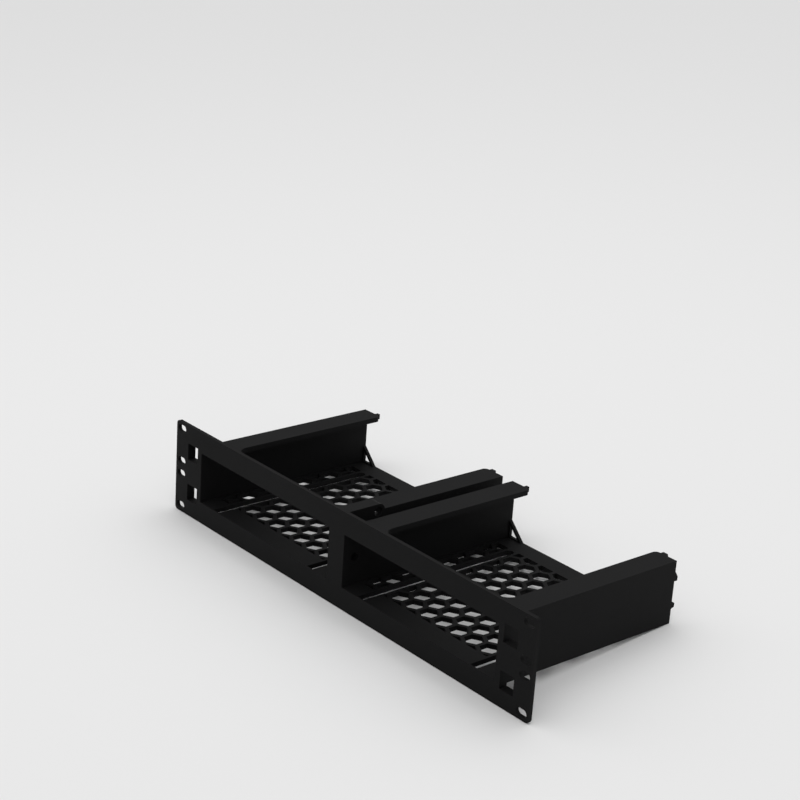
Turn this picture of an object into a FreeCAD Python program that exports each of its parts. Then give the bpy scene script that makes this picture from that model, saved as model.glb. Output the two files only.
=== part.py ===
"""A two-unit rack chassis with two open bays side by side behind one face panel.

Frame: +X along the panel to the right, +Y rearwards into the rack, +Z up.
The origin is the centre of the rack-slot pattern, on the rear face of the panel,
which is the face that lies against the rack rails.
"""
import FreeCAD, Part
import math
import os
import re
import Sketcher

doc = FreeCAD.newDocument("rack_chassis")

# ---------------------------------------------------------------- driving sizes, mm
SIZES = [
    ("panel_width", 482.6),        # 19-inch rack panel
    ("panel_height", 88.9),        # two rack units
    ("panel_thick", 3.5),
    ("panel_corner", 3.5),
    ("rack_span", 465.1),          # between the two columns of rack slots
    ("rack_outer", 76.2),          # outer pair of slots, centre to centre
    ("rack_inner", 12.7),          # inner pair of slots, centre to centre
    ("rack_slot_long", 12.0),
    ("rack_slot_wide", 7.0),
    ("bay_pitch", 211.1),          # centre of one bay to centre of the other
    ("bay_width", 190.4),          # clear inside
    ("bay_height", 48.4),          # clear inside, floor to roof
    ("bay_depth", 192.0),          # behind the panel
    ("wall", 4.0),
    ("floor_thick", 4.2),
    ("roof_thick", 4.9),
    ("roof_gap", 152.0),           # between the two top flanges of a bay
    ("roof_lip", 21.5),            # strip of roof left behind the panel
    ("gap_corner", 11.0),          # where a flange meets the lip
    ("flange_corner", 4.5),        # rear inner corner of a flange
    ("slot_at", 70.5),             # floor slot, from the bay's centre
    ("slot_wide", 8.0),
    ("slot_end", 171.5),           # from the panel's rear face
    ("slot_notch", 2.5),           # how far it runs into the panel's thickness
    ("cell_pitch", 18.5),          # honeycomb, centre to centre in a row
    ("cell_web", 3.5),
    ("cell_first", 28.3),          # first full row, from the panel's rear face
    ("field_front", 17.0),
    ("field_rear", 173.0),
    ("field_half", 64.0),          # middle field, half width
    ("strip_near", 77.5),          # side fields, from the bay's centre
    ("strip_far", 92.7),
    ("gusset_leg", 16.8),
    ("gusset_thick", 3.0),
    ("gusset_strut", 2.4),
    ("gusset_rim", 1.2),
    ("gusset_round", 2.2),
    ("port_at", 214.45),           # port window, from the middle of the panel
    ("port_wide", 15.5),
    ("port_high", 16.0),
    ("port_upper", 18.75),
    ("port_lower", -21.35),
    ("port_rim", 1.95),
    ("port_boss", 4.7),            # behind the panel
    ("lug_front", 13.5),
    ("lug_wide", 12.0),
    ("lug_round", 6.9),
    ("lug_bore", 8.8),
    ("lug_y", 46.8),
    ("lug_z", 27.65),
    ("tie_bore", 7.8),
    ("tie_y", 9.0),
    ("tie_z", 0.85),
    ("prong", 3.5),                # how far a prong stands out behind the bay
    ("prong_root", 1.0),           # how far it runs into the wall it stands on
]

sheet = doc.addObject("Spreadsheet::Sheet", "Sizes")
for row, (alias, size) in enumerate(SIZES, start=1):
    sheet.set(f"A{row}", alias)
    sheet.set(f"B{row}", str(size))
    sheet.setAlias(f"B{row}", alias)
doc.recompute()

NAMES = [alias for alias, size in SIZES]


def cell(text):
    """Turn a sum of size names into an expression on the sheet."""
    return re.sub(r"[a-z_]+", lambda word: "Sizes." * (word[0] in NAMES) + word[0], text)


def value(text):
    """The present value of such a sum."""
    return float(sheet.evalExpression(cell(text)))


# ---------------------------------------------------------------- sketch helpers
chassis = doc.addObject("PartDesign::Body", "chassis")
chassis.Label = "chassis"
ORIGIN = {feature.Role: feature for feature in chassis.Origin.OriginFeatures}


def sketch_on(name, plane, lift=None):
    """A sketch on one of the body's origin planes, lifted along its normal."""
    sketch = chassis.newObject("Sketcher::SketchObject", name)
    sketch.AttachmentSupport = [(ORIGIN[plane], "")]
    sketch.MapMode = "FlatFace"
    if lift:
        sketch.setExpression("AttachmentOffset.Base.z", cell(lift))
    return sketch


def pin(sketch, curve, point, x, y):
    """Fix one point of a curve by its two distances from the origin."""
    for kind, axis, text in (("DistanceX", -2, x), ("DistanceY", -1, y)):
        if text == "0":
            sketch.addConstraint(Sketcher.Constraint("PointOnObject", curve, point, axis))
            continue
        fixed = Sketcher.Constraint(kind, -1, 1, curve, point, value(text))
        number = sketch.addConstraint(fixed)
        sketch.setExpression(f"Constraints[{number}]", cell(text))


def bind(sketch, kind, curve, text):
    """Give a curve its radius or diameter."""
    number = sketch.addConstraint(Sketcher.Constraint(kind, curve, value(text)))
    sketch.setExpression(f"Constraints[{number}]", cell(text))


def polygon(sketch, corners):
    """A closed outline of straight lines through the corners."""
    spots = [FreeCAD.Vector(value(x), value(y), 0) for x, y in corners]
    first = sketch.GeometryCount
    count = len(corners)
    for k in range(count):
        sketch.addGeometry(Part.LineSegment(spots[k], spots[(k + 1) % count]), False)
    for k in range(count):
        joint = (first + k, 2, first + (k + 1) % count, 1)
        sketch.addConstraint(Sketcher.Constraint("Coincident", *joint))
    for k, (x, y) in enumerate(corners):
        pin(sketch, first + k, 1, x, y)


def rectangle(sketch, x0, x1, y0, y1):
    """An upright rectangle between two pairs of limits."""
    polygon(sketch, [(x0, y0), (x1, y0), (x1, y1), (x0, y1)])


def circle(sketch, x, y, diameter):
    """A round hole."""
    spot = FreeCAD.Vector(value(x), value(y), 0)
    radius = value(diameter) / 2
    index = sketch.addGeometry(Part.Circle(spot, FreeCAD.Vector(0, 0, 1), radius), False)
    pin(sketch, index, 3, x, y)
    bind(sketch, "Diameter", index, diameter)


def arc(sketch, x, y, radius, start, end):
    """An arc about a fixed centre, its ends left to the lines that join it."""
    spot = FreeCAD.Vector(value(x), value(y), 0)
    ring = Part.Circle(spot, FreeCAD.Vector(0, 0, 1), value(radius))
    turn = Part.ArcOfCircle(ring, math.radians(start), math.radians(end))
    index = sketch.addGeometry(turn, False)
    pin(sketch, index, 3, x, y)
    bind(sketch, "Radius", index, radius)
    return index


def line(sketch, start, end):
    """A line between two free ends."""
    ends = [FreeCAD.Vector(value(x), value(y), 0) for x, y in (start, end)]
    return sketch.addGeometry(Part.LineSegment(*ends), False)


def tangent(sketch, *ends):
    """Join two curves end to end with no corner."""
    sketch.addConstraint(Sketcher.Constraint("Tangent", *ends))


def long_hole(sketch, x, y, run, radius):
    """A slot along X with round ends; run is half the distance between their centres."""
    left = arc(sketch, f"{x} - {run}", y, radius, 90, 270)
    right = arc(sketch, f"{x} + {run}", y, radius, -90, 90)
    top = line(sketch, (f"{x} - {run}", f"{y} + {radius}"), (f"{x} + {run}", f"{y} + {radius}"))
    low = line(sketch, (f"{x} - {run}", f"{y} - {radius}"), (f"{x} + {run}", f"{y} - {radius}"))
    tangent(sketch, left, 1, top, 1)
    tangent(sketch, left, 2, low, 1)
    tangent(sketch, right, 2, top, 2)
    tangent(sketch, right, 1, low, 2)


def solid_from(kind, name, sketch, length=None, reverse=False):
    """A pad or pocket of a sketch; with no length it goes right through both ways."""
    doc.recompute()
    before = chassis.Shape.Volume if chassis.Tip else 0.0
    feature = chassis.newObject("PartDesign::" + kind, name)
    feature.Profile = sketch
    feature.Reversed = reverse
    if length:
        feature.setExpression("Length", cell(length))
    else:
        feature.Type = "ThroughAll"
        feature.Midplane = True
    doc.recompute()
    gained = chassis.Shape.Volume - before
    if kind == "Pad" and gained <= 0 or kind == "Pocket" and gained >= 0:
        raise RuntimeError(f"{name} changes nothing: {gained:.1f}")
    return feature


# ---------------------------------------------------------------- repeated sums
LEFT_BAY = "- bay_pitch / 2"
RIGHT_BAY = "bay_pitch / 2"
BAYS = (LEFT_BAY, RIGHT_BAY)
OUTER_HALF = "(bay_width / 2 + wall)"
FLOOR_TOP = "- bay_height / 2"
ROOF_TOP = "bay_height / 2 + roof_thick"
ROW_STEP = "(cell_pitch * sqrt(3) / 2)"
CELL_SIDE = "((cell_pitch - cell_web) / sqrt(3))"
CELL_HALF = "(cell_pitch - cell_web) / 2"
COLUMNS_BESIDE = "floor(bay_width / 2 / cell_pitch)"


def mirrored(x):
    """The same distance on both sides of the middle."""
    return (f"- ({x})", x)


# ---------------------------------------------------------------- face panel
face = sketch_on("FaceOutline", "XZ_Plane")
rectangle(face, *mirrored("panel_width / 2"), *mirrored("panel_height / 2"))
solid_from("Pad", "Face", face, "panel_thick")

# ---------------------------------------------------------------- the two bays
shells = sketch_on("BayOutlines", "XZ_Plane")
for bay in BAYS:
    rectangle(shells, f"{bay} - {OUTER_HALF}", f"{bay} + {OUTER_HALF}",
              f"{FLOOR_TOP} - floor_thick", ROOF_TOP)
solid_from("Pad", "Bays", shells, "bay_depth", reverse=True)

insides = sketch_on("BayInsides", "XZ_Plane")
for bay in BAYS:
    rectangle(insides, f"{bay} - bay_width / 2", f"{bay} + bay_width / 2",
              FLOOR_TOP, "bay_height / 2")
solid_from("Pocket", "Insides", insides)

# ---------------------------------------------------------------- open roofs
gaps = sketch_on("RoofGaps", "XY_Plane")
for bay in BAYS:
    rectangle(gaps, f"{bay} - roof_gap / 2", f"{bay} + roof_gap / 2", "roof_lip", "bay_depth + wall")
solid_from("Pocket", "RoofGapCuts", gaps, f"{ROOF_TOP} + wall", reverse=True)


def upright_edges(y):
    """Names of the roof's upright edges at one depth, at the gap's two sides."""
    found = []
    sides = [value(f"{bay} {sign} roof_gap / 2") for bay in BAYS for sign in "-+"]
    for number, edge in enumerate(chassis.Shape.Edges, start=1):
        box = edge.BoundBox
        if box.XLength > 0.01 or box.YLength > 0.01 or box.ZMin < 0:
            continue
        if abs(box.YMin - y) < 0.01 and min(abs(box.XMin - side) for side in sides) < 0.01:
            found.append(f"Edge{number}")
    return found


def round_off(name, edges, radius, count):
    """Round the named edges of the present solid."""
    if len(edges) != count:
        raise RuntimeError(f"{name}: {len(edges)} edges where {count} were meant")
    base = chassis.Tip
    fillet = chassis.newObject("PartDesign::Fillet", name)
    fillet.Base = (base, edges)
    fillet.setExpression("Radius", cell(radius))
    doc.recompute()


round_off("GapCorners", upright_edges(value("roof_lip")), "gap_corner", 4)
round_off("FlangeCorners", upright_edges(value("bay_depth")), "flange_corner", 4)
corners = []
for number, edge in enumerate(chassis.Shape.Edges, start=1):
    middle = edge.BoundBox.Center
    at_side = abs(abs(middle.x) - value("panel_width / 2")) < 0.01
    at_end = abs(abs(middle.z) - value("panel_height / 2")) < 0.01
    if at_side and at_end:
        corners.append(f"Edge{number}")
round_off("FaceCorners", corners, "panel_corner", 4)

# ---------------------------------------------------------------- rear corner gussets
plates = sketch_on("GussetPlates", "XZ_Plane", "- bay_depth")
windows = sketch_on("GussetWindows", "XZ_Plane", "- bay_depth")
for bay in BAYS:
    for side, away in (("-", "+"), ("+", "-")):
        wall_face = f"{bay} {side} bay_width / 2"
        polygon(plates, [
            (f"{wall_face} {side} prong_root", f"{FLOOR_TOP} - prong_root"),
            (f"{wall_face} {away} gusset_leg", f"{FLOOR_TOP} - prong_root"),
            (f"{wall_face} {away} gusset_leg", FLOOR_TOP),
            (wall_face, f"{FLOOR_TOP} + gusset_leg"),
            (f"{wall_face} {side} prong_root", f"{FLOOR_TOP} + gusset_leg"),
        ])
        reach = "(gusset_leg - gusset_strut * sqrt(2) - gusset_rim)"
        polygon(windows, [
            (f"{wall_face} {away} gusset_rim", f"{FLOOR_TOP} + gusset_rim"),
            (f"{wall_face} {away} {reach}", f"{FLOOR_TOP} + gusset_rim"),
            (f"{wall_face} {away} gusset_rim", f"{FLOOR_TOP} + {reach}"),
        ])
solid_from("Pad", "Gussets", plates, "gusset_thick")
solid_from("Pocket", "GussetWindowCuts", windows, "gusset_thick", reverse=True)

# ---------------------------------------------------------------- port windows in the ears
PORTS = [(x, z) for x in mirrored("port_at") for z in ("port_upper", "port_lower")]


def port_outline(sketch, x, z, rim):
    """One port's rectangle, with a rim all round it."""
    wide = f"(port_wide / 2 + {rim})"
    high = f"(port_high / 2 + {rim})"
    rectangle(sketch, f"{x} - {wide}", f"{x} + {wide}", f"{z} - {high}", f"{z} + {high}")


ports = sketch_on("PortWindows", "XZ_Plane")
for x, z in PORTS:
    port_outline(ports, x, z, "0")
solid_from("Pocket", "PortCuts", ports)

# ---------------------------------------------------------------- rack slots
rack = sketch_on("RackSlots", "XZ_Plane")
for x in mirrored("rack_span / 2"):
    for z in (*mirrored("rack_outer / 2"), *mirrored("rack_inner / 2")):
        long_hole(rack, x, z, "(rack_slot_long - rack_slot_wide) / 2", "rack_slot_wide / 2")
solid_from("Pocket", "RackSlotCuts", rack)

# ---------------------------------------------------------------- lug on the centre wall
INNER_FACE = f"{LEFT_BAY} + {OUTER_HALF}"
profile = sketch_on("LugProfile", "YZ_Plane", INNER_FACE)
nose = arc(profile, "lug_y", "lug_z", "lug_round", 0, 90)
top = line(profile, ("lug_y", "lug_z + lug_round"), ("lug_front", "lug_z + lug_round"))
front = line(profile, ("lug_front", "lug_z + lug_round"), ("lug_front", "lug_z"))
base = line(profile, ("lug_front", "lug_z"), ("lug_y + lug_round", "lug_z"))
tangent(profile, nose, 2, top, 1)
for pair in ((top, 2, front, 1), (front, 2, base, 1), (base, 2, nose, 1)):
    profile.addConstraint(Sketcher.Constraint("Coincident", *pair))
pin(profile, front, 2, "lug_front", "lug_z")
profile.addConstraint(Sketcher.Constraint("Vertical", front))
profile.addConstraint(Sketcher.Constraint("Horizontal", base))
solid_from("Pad", "Lug", profile, "lug_wide", reverse=True)

bore = sketch_on("LugBore", "YZ_Plane", INNER_FACE)
circle(bore, "lug_y", "lug_z", "lug_bore")
solid_from("Pocket", "LugBoreCut", bore, "lug_wide")

ties = sketch_on("TieHoles", "YZ_Plane", INNER_FACE + " + wall")
circle(ties, "tie_y", "tie_z", "tie_bore")
solid_from("Pocket", "LeftTieHole", ties, "2 * wall")
far_ties = sketch_on("FarTieHoles", "YZ_Plane", f"{RIGHT_BAY} - {OUTER_HALF} - wall")
circle(far_ties, "tie_y", "tie_z", "tie_bore")
solid_from("Pocket", "RightTieHole", far_ties, "2 * wall", reverse=True)

# ---------------------------------------------------------------- prongs on the rear edges
root = "bay_depth - prong_root"
tip = "bay_depth + prong"
tabs = sketch_on("FlangeProngs", "XY_Plane", ROOF_TOP)
for bay in BAYS:
    polygon(tabs, [(f"{bay} - 84.5", root), (f"{bay} - 81", root),
                   (f"{bay} - 81", tip), (f"{bay} - 84.5", tip)])
    polygon(tabs, [(f"{bay} + 81", root), (f"{bay} + 89.5", root), (f"{bay} + 89.5", "bay_depth"),
                   (f"{bay} + 86", tip), (f"{bay} + 81", tip)])
solid_from("Pad", "FlangeProngPads", tabs, "roof_thick", reverse=True)

for bay, name in ((LEFT_BAY, "Left"), (RIGHT_BAY, "Right")):
    barbs = sketch_on(name + "WallProngs", "YZ_Plane", f"{bay} + bay_width / 2")
    polygon(barbs, [(root, "10.3"), (tip, "10.3"), (tip, "14.1"), ("bay_depth", "19.3"),
                    (root, "19.3")])
    polygon(barbs, [(root, "- 10.3"), (root, "- 15.1"), ("bay_depth", "- 15.1"),
                    (tip, "- 13.8"), (tip, "- 10.3")])
    solid_from("Pad", name + "WallProngPads", barbs, "wall")

# ---------------------------------------------------------------- honeycomb floors
cells = sketch_on("CellPair", "XY_Plane", FLOOR_TOP)
for bay in BAYS:
    start = f"{bay} - {COLUMNS_BESIDE} * cell_pitch"
    pair = ((f"{start} + cell_pitch / 2", f"cell_first - {ROW_STEP}"), (start, "cell_first"))
    for x, y in pair:
        polygon(cells, [
            (x, f"{y} + {CELL_SIDE}"),
            (f"{x} - {CELL_HALF}", f"{y} + {CELL_SIDE} / 2"),
            (f"{x} - {CELL_HALF}", f"{y} - {CELL_SIDE} / 2"),
            (x, f"{y} - {CELL_SIDE}"),
            (f"{x} + {CELL_HALF}", f"{y} - {CELL_SIDE} / 2"),
            (f"{x} + {CELL_HALF}", f"{y} + {CELL_SIDE} / 2"),
        ])
first_cells = solid_from("Pocket", "FirstCells", cells, "floor_thick")

honeycomb = chassis.newObject("PartDesign::MultiTransform", "Honeycomb")
honeycomb.Originals = [first_cells]
across = chassis.newObject("PartDesign::LinearPattern", "CellsAcross")
across.Direction = (ORIGIN["X_Axis"], [""])
across.Mode = "Spacing"
across.setExpression("Offset", cell("cell_pitch"))
across.setExpression("Occurrences", cell(f"2 * {COLUMNS_BESIDE} + 1"))
along = chassis.newObject("PartDesign::LinearPattern", "CellsAlong")
along.Direction = (ORIGIN["Y_Axis"], [""])
along.Mode = "Spacing"
along.setExpression("Offset", cell(f"2 * {ROW_STEP}"))
pairs_of_rows = f"ceil((bay_depth - cell_first + {ROW_STEP}) / (2 * {ROW_STEP}))"
along.setExpression("Occurrences", cell(pairs_of_rows))
honeycomb.Transformations = [across, along]
chassis.Tip = honeycomb
doc.recompute()

rims = sketch_on("FloorRims", "XY_Plane", FLOOR_TOP)
for bay in BAYS:
    rectangle(rims, f"{bay} - {OUTER_HALF}", f"{bay} + {OUTER_HALF}", "0", "bay_depth")
    for near, far in (("- field_half", "field_half"), ("- strip_far", "- strip_near"),
                      ("strip_near", "strip_far")):
        rectangle(rims, f"{bay} + {near}", f"{bay} + {far}", "field_front", "field_rear")
solid_from("Pad", "Rims", rims, "floor_thick", reverse=True)

grooves = sketch_on("FloorSlots", "XY_Plane", FLOOR_TOP)
for bay in BAYS:
    for centre in (f"{bay} - slot_at", f"{bay} + slot_at"):
        half = "slot_wide / 2"
        back = f"slot_end - {half}"
        front = "- slot_notch"
        end = arc(grooves, centre, back, half, 0, 180)
        left = line(grooves, (f"{centre} - {half}", back), (f"{centre} - {half}", front))
        low = line(grooves, (f"{centre} - {half}", front), (f"{centre} + {half}", front))
        right = line(grooves, (f"{centre} + {half}", front), (f"{centre} + {half}", back))
        tangent(grooves, end, 2, left, 1)
        tangent(grooves, end, 1, right, 2)
        grooves.addConstraint(Sketcher.Constraint("Coincident", left, 2, low, 1))
        grooves.addConstraint(Sketcher.Constraint("Coincident", low, 2, right, 1))
        pin(grooves, low, 1, f"{centre} - {half}", front)
        grooves.addConstraint(Sketcher.Constraint("Horizontal", low))
solid_from("Pocket", "FloorSlotCuts", grooves, "floor_thick")

# ---------------------------------------------------------------- frames behind the windows
frames = sketch_on("PortFrames", "XZ_Plane")
for x, z in PORTS:
    port_outline(frames, x, z, "port_rim")
    port_outline(frames, x, z, "0")
solid_from("Pad", "Frames", frames, "port_boss", reverse=True)

# ---------------------------------------------------------------- checks and export
doc.recompute()
for item in doc.Objects:
    if "Invalid" in item.State or "Error" in item.State:
        raise RuntimeError(f"{item.Name} did not compute: {item.State}")
solid = chassis.Shape
if solid.isNull() or not solid.isValid() or len(solid.Solids) != 1:
    raise RuntimeError("the chassis is not one valid solid")
os.makedirs("parts", exist_ok=True)
solid.exportStep("parts/chassis.step")
box = solid.BoundBox
print(f"chassis: {solid.Volume / 1000:.1f} cm3, {len(solid.Faces)} faces")
print(f"box {box.XLength:.1f} x {box.YLength:.1f} x {box.ZLength:.1f}, y {box.YMin:.1f} to {box.YMax:.1f}, "
      f"z {box.ZMin:.1f} to {box.ZMax:.1f}")
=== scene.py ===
import math

import bpy
from mathutils import Matrix, Vector

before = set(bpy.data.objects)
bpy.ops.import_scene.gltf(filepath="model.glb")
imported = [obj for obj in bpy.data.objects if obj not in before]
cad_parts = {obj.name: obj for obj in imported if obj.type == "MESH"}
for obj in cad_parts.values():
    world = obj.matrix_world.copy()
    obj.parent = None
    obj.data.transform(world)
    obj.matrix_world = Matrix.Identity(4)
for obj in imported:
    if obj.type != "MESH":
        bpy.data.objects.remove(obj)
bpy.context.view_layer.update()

# Lengths are in metres, in the chassis's own frame: +X right, +Y rearwards, +Z up.
# The chassis stands on the panel's lower rear edge and on the rear edges of its bays, so in that
# frame the floor climbs a little towards the rear.
HALF_PANEL = 0.08890 / 2
BAY_UNDERSIDE = -0.0284
BAY_DEPTH = 0.1920
SLOPE = math.atan2(BAY_UNDERSIDE + HALF_PANEL, BAY_DEPTH)
FLOOR_SIZE = 14.0
FLOOR_CLEARANCE = 0.0001

# Texture cells per metre: broad handling marks, the moulded grain and the pits in it.
MARK_SCALE = 14.0
GRAIN_SCALE = 1600.0
PIT_SCALE = 2600.0
GRAIN_HEIGHT = 0.00012
PIT_HEIGHT = 0.00006

# Linear colours. The two blacks stand at the places on the ramp where the marks reach them.
BLACK_STOPS = ((0.30, (0.0050, 0.0050, 0.0052, 1)), (0.72, (0.0072, 0.0072, 0.0074, 1)))
SPECK = (0.012, 0.012, 0.0125, 1)
PAPER = (0.80, 0.80, 0.80, 1)
WHITE = (1.0, 1.0, 1.0, 1)

# The lamps face this point. The world's strength rises from the horizon to overhead.
CENTRE = (0.0, 0.09, 0.0)
HORIZON_STRENGTH = 0.30
ZENITH_STRENGTH = 1.22

# The camera stands before the panel's right end and above it.
CAMERA_PLACE = (1.10755, -0.91278, 0.66519)
CAMERA_RIGHT = (0.6398, 0.7659, 0.0636)
CAMERA_BACK = (0.7071, -0.6190, 0.3419)
LENS_MM = 84.1
SENSOR_MM = 36.0


# ---------------------------------------------------------------- materials
def node(tree, kind, **sockets):
    """A new node, with its inputs set by name. An underscore stands for a space."""
    made = tree.nodes.new(kind)
    for name, value in sockets.items():
        made.inputs[name.replace("_", " ")].default_value = value
    return made


def ramp(tree, source, span, result):
    """A value that runs from one end of result to the other as the source crosses span."""
    made = node(tree, "ShaderNodeMapRange", From_Min=span[0], From_Max=span[1],
                To_Min=result[0], To_Max=result[1])
    tree.links.new(source, made.inputs["Value"])
    return made.outputs["Result"]


def black_plastic():
    """Matte black moulded plastic with a fine sparkle grain and faint handling marks."""
    made = bpy.data.materials.new("black_plastic")
    made.use_nodes = True
    tree = made.node_tree
    links = tree.links
    shader = tree.nodes["Principled BSDF"]
    place = tree.nodes.new("ShaderNodeTexCoord").outputs["Object"]

    marks = node(tree, "ShaderNodeTexNoise", Scale=MARK_SCALE, Detail=3.0, Roughness=0.55)
    grain = node(tree, "ShaderNodeTexNoise", Scale=GRAIN_SCALE, Detail=2.0, Roughness=0.6)
    pits = node(tree, "ShaderNodeTexVoronoi", Scale=PIT_SCALE)
    for texture in (marks, grain, pits):
        links.new(place, texture.inputs["Vector"])

    colour = tree.nodes.new("ShaderNodeValToRGB")
    for stop, (position, black) in zip(colour.color_ramp.elements, BLACK_STOPS):
        stop.position = position
        stop.color = black
    links.new(marks.outputs["Fac"], colour.inputs["Fac"])
    speck = tree.nodes.new("ShaderNodeMix")
    speck.data_type = "RGBA"
    speck.inputs["B"].default_value = SPECK
    links.new(colour.outputs["Color"], speck.inputs["A"])
    sparkle = ramp(tree, grain.outputs["Fac"], span=(0.52, 0.80), result=(0.0, 0.6))
    links.new(sparkle, speck.inputs["Factor"])
    links.new(speck.outputs["Result"], shader.inputs["Base Color"])

    rough = tree.nodes.new("ShaderNodeMath")
    rough.operation = "ADD"
    worn = ramp(tree, marks.outputs["Fac"], span=(0.3, 0.7), result=(0.56, 0.66))
    uneven = ramp(tree, grain.outputs["Fac"], span=(0.3, 0.7), result=(-0.04, 0.04))
    links.new(worn, rough.inputs[0])
    links.new(uneven, rough.inputs[1])
    links.new(rough.outputs["Value"], shader.inputs["Roughness"])

    coarse = node(tree, "ShaderNodeBump", Strength=0.22, Distance=GRAIN_HEIGHT)
    links.new(grain.outputs["Fac"], coarse.inputs["Height"])
    fine = node(tree, "ShaderNodeBump", Strength=0.15, Distance=PIT_HEIGHT)
    links.new(pits.outputs["Distance"], fine.inputs["Height"])
    links.new(coarse.outputs["Normal"], fine.inputs["Normal"])
    links.new(fine.outputs["Normal"], shader.inputs["Normal"])
    shader.inputs["Specular IOR Level"].default_value = 0.08
    return made


def pale_floor():
    """Matte paper."""
    made = bpy.data.materials.new("pale_floor")
    made.use_nodes = True
    shader = made.node_tree.nodes["Principled BSDF"]
    shader.inputs["Base Color"].default_value = PAPER
    shader.inputs["Roughness"].default_value = 0.9
    shader.inputs["Specular IOR Level"].default_value = 0.1
    return made


plastic = black_plastic()
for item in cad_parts.values():
    item.data.materials.clear()
    item.data.materials.append(plastic)

# ---------------------------------------------------------------- floor
bpy.ops.mesh.primitive_plane_add(size=FLOOR_SIZE)
floor = bpy.context.object
floor.name = "floor"
floor.data.materials.append(pale_floor())
floor.rotation_euler = (SLOPE, 0.0, 0.0)
floor.location = (0.0, 0.0, -HALF_PANEL - FLOOR_CLEARANCE)


# ---------------------------------------------------------------- light
def softbox(name, place, side, power):
    """A square area lamp that faces the chassis."""
    lamp = bpy.data.lights.new(name, "AREA")
    lamp.shape = "RECTANGLE"
    lamp.size = side
    lamp.size_y = side
    lamp.energy = power
    holder = bpy.data.objects.new(name, lamp)
    bpy.context.collection.objects.link(holder)
    holder.location = place
    ahead = Vector(CENTRE) - Vector(place)
    holder.rotation_euler = ahead.to_track_quat("-Z", "Y").to_euler()


def studio_world():
    """A white world that is dim at the horizon and brightest overhead."""
    world = bpy.data.worlds.new("studio")
    world.use_nodes = True
    tree = world.node_tree
    toward = tree.nodes.new("ShaderNodeTexCoord").outputs["Generated"]
    height = tree.nodes.new("ShaderNodeSeparateXYZ")
    tree.links.new(toward, height.inputs["Vector"])
    glow = node(tree, "ShaderNodeMapRange", From_Min=0.1, From_Max=1.0,
                To_Min=HORIZON_STRENGTH, To_Max=ZENITH_STRENGTH)
    glow.interpolation_type = "SMOOTHSTEP"
    tree.links.new(height.outputs["Z"], glow.inputs["Value"])
    background = tree.nodes["Background"]
    tree.links.new(glow.outputs["Result"], background.inputs["Strength"])
    background.inputs["Color"].default_value = WHITE
    return world


softbox("overhead", place=(-0.10, 0.25, 1.55), side=1.8, power=4.0)
softbox("left_fill", place=(-1.3, -0.9, 0.9), side=1.1, power=1.5)
bpy.context.scene.world = studio_world()


# ---------------------------------------------------------------- camera
def view_camera():
    """The camera. Its third axis, up, is square to the right and back axes given above."""
    back = Vector(CAMERA_BACK).normalized()
    up = back.cross(Vector(CAMERA_RIGHT).normalized()).normalized()
    right = up.cross(back).normalized()
    optics = bpy.data.cameras.new("camera")
    optics.lens = LENS_MM
    optics.sensor_width = SENSOR_MM
    camera = bpy.data.objects.new("camera", optics)
    bpy.context.collection.objects.link(camera)
    turn = Matrix((right, up, back)).transposed().to_4x4()
    camera.matrix_world = Matrix.Translation(Vector(CAMERA_PLACE)) @ turn
    return camera


bpy.context.scene.camera = view_camera()
bpy.context.scene.view_settings.view_transform = "Standard"
